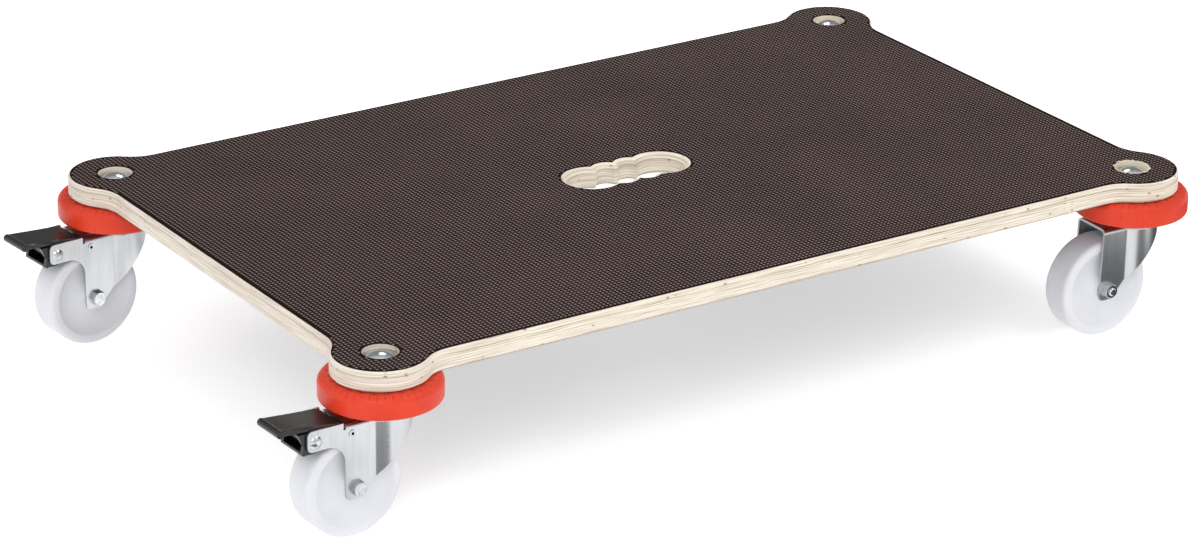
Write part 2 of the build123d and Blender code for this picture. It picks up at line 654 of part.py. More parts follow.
def pedal():
    """Moulded foot pedal: foot plate, two cheeks, release lip, hub and toe in one piece."""
    half = PEDAL_WIDTH / 2
    body = foot_plate(half)
    body += across(lip_side(), -half, half)
    for side in (-1, 1):
        outer = side * half
        inner = side * (half - CHEEK_THICKNESS)
        body += across(cheek_side(), min(outer, inner), max(outer, inner))
    body += across(toe_side(), -TOE_WIDTH / 2, TOE_WIDTH / 2)
    hub_half = LEG_INNER - PEDAL_SIDE_GAP
    body += cross_rod(PEDAL_HUB_RADIUS, -hub_half, hub_half, PIVOT_X, PIVOT_Z)
    bore = PEDAL_PIN_DIAMETER / 2 + RUNNING_CLEARANCE
    return body - cross_rod(bore, -hub_half, hub_half, PIVOT_X, PIVOT_Z)


def shoe_pin():
    """Tubular pin, rolled over at both ends, on which the shoe lever rocks."""
    pin = cross_rod(SHOE_PIN_DIAMETER / 2, -LEG_OUTER, LEG_OUTER, SHOE_PIN_X, SHOE_PIN_Z)
    end = LEG_OUTER + SHOE_PIN_FLANGE_THICKNESS
    pin += cross_rod(SHOE_PIN_FLANGE / 2, LEG_OUTER, end, SHOE_PIN_X, SHOE_PIN_Z)
    pin += cross_rod(SHOE_PIN_FLANGE / 2, -end, -LEG_OUTER, SHOE_PIN_X, SHOE_PIN_Z)
    return pin - cross_rod(SHOE_PIN_BORE / 2, -end, end, SHOE_PIN_X, SHOE_PIN_Z)


def pad_side():
    """Side view of the pad at rest: drawn on the tread, as when locked, then tilted back about its pin."""
    inner = WHEEL_RADIUS + PAD_GAP
    outer = inner + PAD_THICKNESS
    back = asin(PAD_BEHIND / inner)
    front = asin(PAD_AHEAD / inner)

    def on_tread(radius, angle):
        return (TRAIL + radius * sin(angle), AXLE_Z + radius * cos(angle))

    pad = make_face([
        ThreePointArc(on_tread(inner, -back), on_tread(inner, 0), on_tread(inner, front)),
        Line(on_tread(inner, front), on_tread(outer, front)),
        ThreePointArc(on_tread(outer, front), on_tread(outer, 0), on_tread(outer, -back)),
        Line(on_tread(outer, -back), on_tread(inner, -back)),
    ])
    neck = Polygon(
        on_tread(inner, front),
        (SHOE_PIN_X, SHOE_PIN_Z - SHOE_HUB_RADIUS),
        (SHOE_PIN_X - SHOE_HUB_RADIUS / 2, SHOE_PIN_Z + SHOE_HUB_RADIUS / 2),
        on_tread(outer, 0),
    )
    locked = pad + neck
    tilt = Pos(SHOE_PIN_X, SHOE_PIN_Z) * Rot(0, 0, -SHOE_LOCK_ANGLE) * Pos(-SHOE_PIN_X, -SHOE_PIN_Z)
    return tilt * locked


def shoe_arm_side():
    """Side view of the lever from its hub to the tip that rests over the pedal's toe."""
    arm = Polygon(
        (SHOE_PIN_X, SHOE_PIN_Z + SHOE_HUB_RADIUS),
        (SHOE_PIN_X, SHOE_PIN_Z - SHOE_HUB_RADIUS / 2),
        (TOE_X, SHOE_TIP_Z - SHOE_TIP_RADIUS),
        (TOE_X, SHOE_TIP_Z + SHOE_TIP_RADIUS),
    )
    return arm + Pos(TOE_X, SHOE_TIP_Z) * Circle(SHOE_TIP_RADIUS)


def brake_shoe():
    """Shoe lever: curved pad behind its pin, arm in front of it."""
    half = SHOE_WIDTH / 2
    profile = pad_side() + shoe_arm_side() + Pos(SHOE_PIN_X, SHOE_PIN_Z) * Circle(SHOE_HUB_RADIUS)
    bore = SHOE_PIN_DIAMETER / 2 + RUNNING_CLEARANCE
    return across(profile, -half, half) - cross_rod(bore, -half, half, SHOE_PIN_X, SHOE_PIN_Z)


# Assembly

def caster_pieces(braked, head_side):
    """Every piece that a caster adds, about its own swivel axis, trailing towards +X."""
    pieces = {
        "fork": brake_fork() if braked else plain_fork(),
        "swivel_balls": swivel_balls(),
        "wheel": wheel(),
        "wheel_bush": wheel_bush(),
        "axle_sleeve": axle_sleeve(),
        "axle_bolt": axle_bolt(head_side),
        "axle_nut": axle_nut(head_side),
    }
    if braked:
        pieces["pedal"] = pedal()
        pieces["pedal_pin"] = pedal_pin()
        pieces["brake_shoe"] = brake_shoe()
        pieces["shoe_pin"] = shoe_pin()
    return pieces


def assemble():
    """All nodes by name, with the middle of the dolly's footprint at X = 0."""
    nodes = {
        "deck_core": deck_core(),
        "deck_top_film": deck_film(CORE_TOP, TOP_FILM, HAND_EASE, WELL_RADIUS),
        "deck_bottom_film": deck_film(BUMPER_TOP, BOTTOM_FILM, HAND_FOOT_EASE, BOLT_HOLE_RADIUS),
    }
    fasteners = {"deck_bolts": deck_bolt(), "clamp_washers": clamp_washer(), "clamp_nuts": clamp_nut()}
    for name, piece in fasteners.items():
        nodes[name] = Compound([Pos(x, y, 0) * piece for x, y in POSTS])
    fixed = {
        "bumper": bumper(),
        "top_cup": top_cup(),
        "swivel_sleeve": swivel_sleeve(),
        "lower_cap": lower_cap(),
    }
    built = {}
    for (corner, _, _, rest_angle, braked, head_side), (x, y) in zip(CORNERS, POSTS):
        if (braked, head_side) not in built:
            built[braked, head_side] = caster_pieces(braked, head_side)
        for name, piece in fixed.items():
            nodes[f"{name}_{corner}"] = Pos(x, y, 0) * piece
        for name, piece in built[braked, head_side].items():
            nodes[f"{name}_{corner}"] = Pos(x, y, 0) * Rot(0, 0, 180 + rest_angle) * piece
    reach = [nodes[name].bounding_box() for name in nodes]
    middle = (min(box.min.X for box in reach) + max(box.max.X for box in reach)) / 2
    return {name: Pos(-middle, 0, 0) * shape for name, shape in nodes.items()}, middle


if __name__ == "__main__":
    os.makedirs("parts", exist_ok=True)
    finished, _ = assemble()
    for node, shape in finished.items():
        export_step(shape, f"parts/{node}.step")
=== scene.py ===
"""Looks of a plywood transport dolly: its finishes, its anti-slip film, the studio and the camera."""

import json
import logging
import math
from dataclasses import dataclass
from enum import Enum

import bmesh
import bpy
from mathutils import Matrix, Vector, noise


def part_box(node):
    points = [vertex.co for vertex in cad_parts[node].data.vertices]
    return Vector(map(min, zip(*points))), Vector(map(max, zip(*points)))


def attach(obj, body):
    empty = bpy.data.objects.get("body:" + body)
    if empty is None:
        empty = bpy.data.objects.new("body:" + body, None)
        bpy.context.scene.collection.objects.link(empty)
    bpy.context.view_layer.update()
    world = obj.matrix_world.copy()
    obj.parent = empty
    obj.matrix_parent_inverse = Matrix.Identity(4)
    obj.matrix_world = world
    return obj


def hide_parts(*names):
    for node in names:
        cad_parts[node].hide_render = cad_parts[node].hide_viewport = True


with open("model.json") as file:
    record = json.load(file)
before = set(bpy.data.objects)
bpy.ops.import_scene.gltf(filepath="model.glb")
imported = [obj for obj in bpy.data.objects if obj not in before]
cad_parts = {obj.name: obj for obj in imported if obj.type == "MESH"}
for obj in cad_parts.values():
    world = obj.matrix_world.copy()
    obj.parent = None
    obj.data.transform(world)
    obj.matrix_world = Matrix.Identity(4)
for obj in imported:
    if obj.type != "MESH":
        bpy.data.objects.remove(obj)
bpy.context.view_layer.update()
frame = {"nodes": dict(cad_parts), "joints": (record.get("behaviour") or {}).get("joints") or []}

LOG = logging.getLogger("dolly")
MM = 0.001
WHITE = (1.0, 1.0, 1.0, 1.0)

Colour = tuple[float, float, float, float]
Point = tuple[float, float, float]
Socket = bpy.types.NodeSocket


class Corner(Enum):
    """The four posts of the deck. The brakes are at the rear."""

    REAR_LEFT = "rear_left"
    REAR_RIGHT = "rear_right"
    FRONT_LEFT = "front_left"
    FRONT_RIGHT = "front_right"

    @property
    def braked(self) -> bool:
        """True where the caster has a foot brake."""
        return self in (Corner.REAR_LEFT, Corner.REAR_RIGHT)


class Slot(Enum):
    """The record's material slots that the finishes and new pieces are sorted by."""

    PLYWOOD = "plywood"
    ANTISLIP_FILM = "antislip_film"
    BOLT_ZINC = "bolt_zinc"
    RACE_STEEL = "race_steel"
    FORK_ZINC = "fork_zinc"
    BUSH_PLASTIC = "bush_plastic"
    PEDAL_PLASTIC = "pedal_plastic"


class Graph:
    """Short calls for building one node tree."""

    def __init__(self, tree: bpy.types.NodeTree) -> None:
        """Takes the tree to build in."""
        self.tree = tree

    def feed(self, socket: Socket, value: object) -> None:
        """Links an output to an input, or sets the input's own value.

        Args:
            socket: the input.
            value: an output, or a plain value.
        """
        if isinstance(value, Socket):
            self.tree.links.new(value, socket)
        else:
            socket.default_value = value

    def add(self, kind: str, inputs: dict | None = None, **settings: object) -> bpy.types.Node:
        """Places a node.

        Args:
            kind: Blender's name of the node type.
            inputs: values or outputs for its inputs, by input name.
            settings: the node's own properties.

        Returns:
            The new node.
        """
        node = self.tree.nodes.new(kind)
        for name, value in settings.items():
            setattr(node, name, value)
        for name, value in (inputs or {}).items():
            self.feed(node.inputs[name], value)
        return node

    def in_order(self, node: bpy.types.Node, values: tuple[object, ...]) -> bpy.types.Node:
        """Feeds a node's inputs one after another.

        Args:
            node: the node.
            values: values or outputs, in the order of its inputs.

        Returns:
            The same node.
        """
        for socket, value in zip(node.inputs, values):
            self.feed(socket, value)
        return node

    def math(self, operation: str, *values: object) -> Socket:
        """A Math node's result."""
        return self.in_order(self.add("ShaderNodeMath", operation=operation), values).outputs[0]

    def vector(self, operation: str, *values: object) -> bpy.types.Node:
        """A Vector Math node."""
        return self.in_order(self.add("ShaderNodeVectorMath", operation=operation), values)

    def along(self, axis: str, vector: Socket) -> Socket:
        """One part of a vector, X, Y or Z."""
        return self.add("ShaderNodeSeparateXYZ", {"Vector": vector}).outputs[axis]

    def mix(self, factor: object, first: object, second: object) -> Socket:
        """A colour between two colours.

        Args:
            factor: the share of the second colour.
            first: the colour at 0.
            second: the colour at 1.

        Returns:
            The mixed colour.
        """
        node = self.add("ShaderNodeMix", data_type="RGBA")
        colour_inputs = [socket for socket in node.inputs if socket.type == "RGBA"]
        for socket, value in zip([node.inputs[0]] + colour_inputs, (factor, first, second)):
            self.feed(socket, value)
        return next(socket for socket in node.outputs if socket.type == "RGBA")

    def span(self, value: object, start: object, end: object, low: float = 0.0, high: float = 1.0) -> Socket:
        """A value mapped from one range to another, smooth and clamped."""
        places = {"Value": value, "From Min": start, "From Max": end, "To Min": low, "To Max": high}
        return self.add("ShaderNodeMapRange", places, interpolation_type="SMOOTHSTEP").outputs[0]

    def bump(self, height: Socket, strength: float, distance: float) -> bpy.types.Node:
        """A Bump node, which bends the normal by a height."""
        return self.add("ShaderNodeBump", {"Height": height, "Strength": strength, "Distance": distance})

    def effect(self, name: str, **inputs: object) -> Socket:
        """Places a shared effect.

        Args:
            name: the effect's group.
            inputs: values or outputs by the input's name, in lower case.

        Returns:
            The effect's value.
        """
        node = self.add("ShaderNodeGroup", node_tree=bpy.data.node_groups[name])
        for label, value in inputs.items():
            self.feed(node.inputs[label.title()], value)
        return node.outputs[0]


class SharedEffects:
    """Node groups that several finishes place."""

    MOTTLE = "Mottle"
    STREAKS = "Streaks"
    FLECKS = "Flecks"
    CLOUD_DETAIL = 4.0
    CLOUD_LOW = 0.3
    CLOUD_HIGH = 0.7
    LINE_DETAIL = 3.0
    LINE_ROUGHNESS = 0.6
    LINE_MIDDLE = 0.5
    LINE_LOW = 0.2
    LINE_HIGH = 0.8

    @staticmethod
    def start(name: str, inputs: dict[str, object], output: str) -> tuple[Graph, dict, Socket]:
        """Opens a new group.

        Args:
            name: the group's name.
            inputs: default values by input name.
            output: name of its one output.

        Returns:
            The graph, the group's inputs by name, and the socket that takes its output.
        """
        tree = bpy.data.node_groups.new(name, "ShaderNodeTree")
        for label, value in inputs.items():
            kind = "NodeSocketVector" if isinstance(value, tuple) else "NodeSocketFloat"
            tree.interface.new_socket(label, in_out="INPUT", socket_type=kind).default_value = value
        tree.interface.new_socket(output, in_out="OUTPUT", socket_type="NodeSocketFloat")
        graph = Graph(tree)
        entry = graph.add("NodeGroupInput")
        leave = graph.add("NodeGroupOutput")
        return graph, {label: entry.outputs[label] for label in inputs}, leave.inputs[output]

    def mottle(self) -> None:
        """Soft clouds between two values."""
        inputs = {"Vector": (0.0, 0.0, 0.0), "Scale": 40.0, "Low": 0.0, "High": 1.0}
        graph, given, out = self.start(self.MOTTLE, inputs, "Value")
        place = {"Vector": given["Vector"], "Scale": given["Scale"], "Detail": self.CLOUD_DETAIL}
        clouds = graph.add("ShaderNodeTexNoise", place).outputs[0]
        limits = {
            "From Min": self.CLOUD_LOW, "From Max": self.CLOUD_HIGH,
            "To Min": given["Low"], "To Max": given["High"],
        }
        graph.feed(out, graph.add("ShaderNodeMapRange", {"Value": clouds, **limits}).outputs[0])

    def streaks(self) -> None:
        """Lines drawn out along one way, as in grain or rolled metal."""
        inputs = {"Vector": (0.0, 0.0, 0.0), "Stretch": (1.0, 1.0, 1.0), "Contrast": 1.0}
        graph, given, out = self.start(self.STREAKS, inputs, "Value")
        place = graph.vector("MULTIPLY", given["Vector"], given["Stretch"]).outputs[0]
        drawn = {
            "Vector": place, "Scale": 1.0, "Detail": self.LINE_DETAIL, "Roughness": self.LINE_ROUGHNESS,
        }
        lines = graph.add("ShaderNodeTexNoise", drawn).outputs[0]
        centred = graph.math("SUBTRACT", lines, self.LINE_MIDDLE)
        lifted = graph.math("ADD", graph.math("MULTIPLY", centred, given["Contrast"]), self.LINE_MIDDLE)
        graph.feed(out, graph.span(lifted, self.LINE_LOW, self.LINE_HIGH))

    def flecks(self) -> None:
        """A mask of small scattered spots."""
        inputs = {"Vector": (0.0, 0.0, 0.0), "Scale": 60.0, "Size": 0.1, "Share": 0.2}
        graph, given, out = self.start(self.FLECKS, inputs, "Mask")
        place = {"Vector": given["Vector"], "Scale": given["Scale"]}
        cells = graph.add("ShaderNodeTexVoronoi", place).outputs
        near = graph.span(cells["Distance"], given["Size"], 0.0)
        draw = graph.add("ShaderNodeSeparateColor", {"Color": cells["Color"]}).outputs[0]
        chosen = graph.math("LESS_THAN", draw, given["Share"])
        graph.feed(out, graph.math("MULTIPLY", near, chosen))

    def build(self) -> None:
        """Makes every group."""
        self.mottle()
        self.streaks()
        self.flecks()


@dataclass(frozen=True)
class Finish:
    """A material with a Principled shader and Object coordinates."""

    name: str

    def build(self) -> bpy.types.Material:
        """Makes the material.

        Returns:
            The material.
        """
        material = bpy.data.materials.new(self.name)
        material.use_nodes = True
        graph = Graph(material.node_tree)
        shader = material.node_tree.nodes["Principled BSDF"]
        place = graph.add("ShaderNodeTexCoord").outputs["Object"]
        self.paint(graph, shader.inputs, place)
        return material

    def paint(self, graph: Graph, shader: bpy.types.NodeInputs, place: Socket) -> None:
        """Feeds the shader. Each kind of finish has its own way."""
        raise NotImplementedError


@dataclass(frozen=True)
class ZincPlate(Finish):
    """Plated or plain steel: a metal with soft clouds and faint rolling lines."""

    tone: Colour = (0.60, 0.61, 0.62, 1.0)
    dull_tone: Colour = (0.47, 0.48, 0.49, 1.0)
    smooth: float = 0.26
    rough: float = 0.32
    cloud_scale: float = 24.0
    line_stretch: Point = (260.0, 260.0, 24.0)
    line_share: float = 0.5

    def paint(self, graph: Graph, shader: bpy.types.NodeInputs, place: Socket) -> None:
        """Clouds and lines tint the plate, clouds vary its gloss.

        Args:
            graph: the material's graph.
            shader: the shader's inputs.
            place: the Object coordinates.
        """
        clouds = graph.effect(SharedEffects.MOTTLE, vector=place, scale=self.cloud_scale)
        lines = graph.effect(SharedEffects.STREAKS, vector=place, stretch=self.line_stretch)
        cloud_part = graph.math("MULTIPLY", clouds, 1.0 - self.line_share)
        line_part = graph.math("MULTIPLY", lines, self.line_share)
        dull = graph.math("ADD", cloud_part, line_part)
        shader["Metallic"].default_value = 1.0
        graph.feed(shader["Base Color"], graph.mix(dull, self.tone, self.dull_tone))
        graph.feed(shader["Roughness"], graph.span(clouds, 0.0, 1.0, self.smooth, self.rough))


@dataclass(frozen=True)
class SatinPlastic(Finish):
    """Moulded plastic with a fine spark-eroded grain."""

    colour: Colour = (0.45, 0.45, 0.45, 1.0)
    shade: Colour = (0.38, 0.38, 0.38, 1.0)
    smooth: float = 0.35
    rough: float = 0.5
    cloud_scale: float = 30.0
    grain_scale: float = 900.0
    grain_depth: float = 0.03 * MM
    grain_strength: float = 0.3

    def paint(self, graph: Graph, shader: bpy.types.NodeInputs, place: Socket) -> None:
        """Clouds tint the plastic, grain roughens it.

        Args:
            graph: the material's graph.
            shader: the shader's inputs.
            place: the Object coordinates.
        """
        clouds = graph.effect(SharedEffects.MOTTLE, vector=place, scale=self.cloud_scale)
        grain = graph.effect(SharedEffects.MOTTLE, vector=place, scale=self.grain_scale)
        graph.feed(shader["Base Color"], graph.mix(clouds, self.colour, self.shade))
        graph.feed(shader["Roughness"], graph.span(clouds, 0.0, 1.0, self.smooth, self.rough))
        graph.feed(shader["Normal"], graph.bump(grain, self.grain_strength, self.grain_depth).outputs[0])


@dataclass(frozen=True)
class BumperPlastic(SatinPlastic):
    """Satin plastic with a ring of short moulding lines about the post, each a bump dip darkened with painted
    shade.
    """

    colour: Colour = (0.71, 0.048, 0.016, 1.0)
    shade: Colour = (0.62, 0.036, 0.012, 1.0)
    smooth: float = 0.36
    rough: float = 0.46
    gloss: float = 0.28
    centre: Point = (0.0, 0.0, 0.0)
    line_count: int = 48
    line_start: float = 43 * MM
    line_end: float = 56.2 * MM
    line_onset: float = 1 * MM
    line_fade: float = 2 * MM
    line_share: float = 0.12
    groove_shade_weight: float = 0.6
    groove_shade_factor: float = 0.42
    ragged: float = 2.5 * MM
    ragged_scale: float = 130.0
    dip_depth: float = 0.4 * MM
    dip_strength: float = 0.35

    def paint(self, graph: Graph, shader: bpy.types.NodeInputs, place: Socket) -> None:
        """Adds the lines' dip and their painted shade, a darker tint, to the plain plastic.

        Args:
            graph: the material's graph.
            shader: the shader's inputs.
            place: the Object coordinates.
        """
        super().paint(graph, shader, place)
        plain = shader["Base Color"].links[0].from_socket
        grained = shader["Normal"].links[0].from_socket
        mask = self.line_mask(graph, place)
        # Painted shade: the lines are tinted darker red to stand in for the shade in their grooves.
        weight = graph.math("MULTIPLY", mask, self.groove_shade_weight)
        graph.feed(shader["Base Color"], graph.mix(weight, plain, self.groove_shade_tone))
        bump = graph.bump(graph.math("SUBTRACT", 1.0, mask), self.dip_strength, self.dip_depth)
        graph.feed(bump.inputs["Normal"], grained)
        graph.feed(shader["Normal"], bump.outputs[0])
        shader["Specular IOR Level"].default_value = self.gloss

    def line_mask(self, graph: Graph, place: Socket) -> Socket:
        """Where the moulding lines are.

        Args:
            graph: the material's graph.
            place: the Object coordinates.

        Returns:
            A mask that is 1 along each line's middle.
        """
        arm = graph.vector("SUBTRACT", place, self.centre).outputs[0]
        east = graph.along("X", arm)
        north = graph.along("Y", arm)
        turn = graph.math("DIVIDE", graph.math("ARCTAN2", north, east), 2 * math.pi / self.line_count)
        off = graph.math("ABSOLUTE", graph.math("SUBTRACT", graph.math("FRACT", turn), 0.5))
        line = graph.span(off, self.line_share, 0.0)
        squares = graph.math("ADD", graph.math("MULTIPLY", east, east), graph.math("MULTIPLY", north, north))
        uneven = graph.effect(
            SharedEffects.MOTTLE, vector=place, scale=self.ragged_scale, low=-self.ragged, high=self.ragged)
        reach = graph.math("ADD", graph.math("SQRT", squares), uneven)
        ring = graph.span(reach, self.line_end, self.line_end - self.line_fade)
        begun = graph.span(reach, self.line_start, self.line_start + self.line_onset)
        return graph.math("MULTIPLY", line, graph.math("MULTIPLY", ring, begun))

    @property
    def groove_shade_tone(self) -> Colour:
        """The darker red painted along the lines as the shade of their grooves."""
        return tuple(self.groove_shade_factor * part for part in self.shade[:3]) + (1.0,)


@dataclass(frozen=True)
class Polyamide(Finish):
    """White wheel plastic, a little see-through, with faint turned rings about its axle."""

    centre: Point = (0.0, 0.0, 0.0)
    axle: Point = (0.0, 1.0, 0.0)
    colour: Colour = (0.72, 0.73, 0.76, 1.0)
    shade: Colour = (0.66, 0.67, 0.71, 1.0)
    smooth: float = 0.36
    rough: float = 0.48
    cloud_scale: float = 22.0
    ring_pitch: float = 1.6 * MM
    ring_depth: float = 0.03 * MM
    ring_strength: float = 0.15
    glow_share: float = 0.25
    glow_depth: float = 4 * MM

    def paint(self, graph: Graph, shader: bpy.types.NodeInputs, place: Socket) -> None:
        """Rings by the distance from the axle, clouds in the tint.

        Args:
            graph: the material's graph.
            shader: the shader's inputs.
            place: the Object coordinates.
        """
        arm = graph.vector("SUBTRACT", place, self.centre).outputs["Vector"]
        along = graph.vector("DOT_PRODUCT", arm, self.axle).outputs["Value"]
        reach = graph.vector("LENGTH", arm).outputs["Value"]
        arm_square = graph.math("MULTIPLY", reach, reach)
        squares = graph.math("SUBTRACT", arm_square, graph.math("MULTIPLY", along, along))
        radius = graph.math("SQRT", graph.math("MAXIMUM", squares, 0.0))
        rings = graph.math("SINE", graph.math("MULTIPLY", radius, 2 * math.pi / self.ring_pitch))
        clouds = graph.effect(SharedEffects.MOTTLE, vector=place, scale=self.cloud_scale)
        graph.feed(shader["Base Color"], graph.mix(clouds, self.colour, self.shade))
        graph.feed(shader["Roughness"], graph.span(clouds, 0.0, 1.0, self.smooth, self.rough))
        graph.feed(shader["Normal"], graph.bump(rings, self.ring_strength, self.ring_depth).outputs[0])
        shader["Subsurface Weight"].default_value = self.glow_share
        shader["Subsurface Radius"].default_value = (1.0, 1.0, 1.0)
        shader["Subsurface Scale"].default_value = self.glow_depth


@dataclass(frozen=True)
class GlueLine:
    """One visible joint between two plies, as shares of the core's height."""

    height: float
    half_width: float
    depth: float


@dataclass(frozen=True)
class BirchPly(Finish):
    """Sanded plywood: pale plies, rosier at the rear end, with wavy glue lines and dark flecks."""

    bottom: float = 0.0
    height: float = 1.0
    rear_end: float = -0.45
    rear_fade: float = 0.20
    plies: int = 15
    pale: Colour = (0.84, 0.78, 0.66, 1.0)
    rosy: Colour = (0.80, 0.735, 0.66, 1.0)
    warm: Colour = (0.50, 0.41, 0.30, 1.0)
    glue: Colour = (0.19, 0.15, 0.10, 1.0)
    fleck: Colour = (0.13, 0.08, 0.05, 1.0)
    even_tint: float = 0.46
    odd_tint: float = 0.34
    wave: float = 0.8 * MM
    wave_scale: float = 14.0
    grain_stretch: Point = (18.0, 18.0, 800.0)
    grain_contrast: float = 2.3
    pore_stretch: Point = (160.0, 160.0, 2600.0)
    pore_contrast: float = 1.5
    pore_depth: float = 0.06 * MM
    pore_strength: float = 0.25
    break_scale: float = 26.0
    break_low: float = 0.3
    fleck_stretch: Point = (1.0, 1.0, 2.2)
    fleck_scale: float = 110.0
    fleck_size: float = 0.34
    fleck_share: float = 0.17
    smooth: float = 0.52
    rough: float = 0.70
    lines: tuple[GlueLine, ...] = (
        GlueLine(0.06, 0.030, 0.60),
        GlueLine(0.19, 0.022, 0.25),
        GlueLine(0.33, 0.026, 0.36),
        GlueLine(0.49, 0.024, 0.42),
        GlueLine(0.62, 0.030, 0.60),
        GlueLine(0.72, 0.042, 1.00),
        GlueLine(0.86, 0.022, 0.32),
    )

    def paint(self, graph: Graph, shader: bpy.types.NodeInputs, place: Socket) -> None:
        """Plies by height, grain along them, and flecks here and there.

        Args:
            graph: the material's graph.
            shader: the shader's inputs.
            place: the Object coordinates.
        """
        share = self.ply_share(graph, place)
        grain = graph.effect(
            SharedEffects.STREAKS, vector=place, stretch=self.grain_stretch, contrast=self.grain_contrast)
        pores = graph.effect(
            SharedEffects.STREAKS, vector=place, stretch=self.pore_stretch, contrast=self.pore_contrast)
        breaks = graph.effect(SharedEffects.MOTTLE, vector=place, scale=self.break_scale, low=self.break_low)
        odd = graph.math("MODULO", graph.math("FLOOR", graph.math("MULTIPLY", share, float(self.plies))), 2.0)
        front = graph.span(graph.along("X", place), self.rear_end, self.rear_end + self.rear_fade)
        body = graph.mix(front, self.rosy, self.pale)
        depth = graph.math("ADD", self.even_tint, graph.math("MULTIPLY", odd, self.odd_tint))
        colour = graph.mix(graph.math("MULTIPLY", grain, depth), body, self.warm)
        for line in self.lines:
            off = graph.math("ABSOLUTE", graph.math("SUBTRACT", share, line.height))
            mask = graph.math("MULTIPLY", graph.span(off, line.half_width, 0.0, 0.0, line.depth), breaks)
            colour = graph.mix(mask, colour, self.glue)
        flattened = graph.vector("MULTIPLY", place, self.fleck_stretch).outputs[0]
        flecks = graph.effect(
            SharedEffects.FLECKS, vector=flattened,
            scale=self.fleck_scale, size=self.fleck_size, share=self.fleck_share)
        graph.feed(shader["Base Color"], graph.mix(flecks, colour, self.fleck))
        graph.feed(shader["Roughness"], graph.span(pores, 0.0, 1.0, self.smooth, self.rough))
        graph.feed(shader["Normal"], graph.bump(pores, self.pore_strength, self.pore_depth).outputs[0])

    def ply_share(self, graph: Graph, place: Socket) -> Socket:
        """The height in the core, a little wavy.

        Args:
            graph: the material's graph.
            place: the Object coordinates.

        Returns:
            0 at the core's bottom, 1 at its top.
        """
        drift = graph.effect(
            SharedEffects.MOTTLE, vector=place, scale=self.wave_scale, low=-self.wave, high=self.wave)
        lifted = graph.math("ADD", graph.along("Z", place), drift)
        return graph.math("DIVIDE", graph.math("SUBTRACT", lifted, self.bottom), self.height)


@dataclass(frozen=True)
class PhenolicFilm(Finish):
    """Brown phenolic film, matt or polished, with handling marks."""

    colour: Colour = (0.0105, 0.0058, 0.0052, 1.0)
    scuffed: Colour = (0.0155, 0.0088, 0.0079, 1.0)
    smooth: float = 0.6
    rough: float = 0.8
    gloss: float = 0.12
    scuff_scale: float = 9.0
    grain_scale: float = 700.0
    grain_depth: float = 0.03 * MM
    grain_strength: float = 0.3

    def paint(self, graph: Graph, shader: bpy.types.NodeInputs, place: Socket) -> None:
        """Large scuffs lighten the film, fine grain roughens it.

        Args:
            graph: the material's graph.
            shader: the shader's inputs.
            place: the Object coordinates.
        """
        scuffs = graph.effect(SharedEffects.MOTTLE, vector=place, scale=self.scuff_scale)
        grain = graph.effect(SharedEffects.MOTTLE, vector=place, scale=self.grain_scale)
        graph.feed(shader["Base Color"], graph.mix(scuffs, self.colour, self.scuffed))
        graph.feed(shader["Roughness"], graph.span(grain, 0.0, 1.0, self.smooth, self.rough))
        graph.feed(shader["Normal"], graph.bump(grain, self.grain_strength, self.grain_depth).outputs[0])
        shader["Specular IOR Level"].default_value = self.gloss


def new_piece(name: str, mesh: bpy.types.Mesh) -> bpy.types.Object:
    """An object of its own for a mesh, linked to the scene.

    Args:
        name: the piece's name.
        mesh: its mesh.

    Returns:
        The piece.
    """
    piece = bpy.data.objects.new(name, mesh)
    bpy.context.scene.collection.objects.link(piece)
    return piece


def middle_of(node: str) -> Vector:
    """The centre of a CAD node's box."""
    low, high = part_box(node)
    return (low + high) / 2


def paint(node: str, material: bpy.types.Material) -> None:
    """Puts a finish on a CAD node."""
    for slot in frame["nodes"][node].material_slots:
        slot.material = material


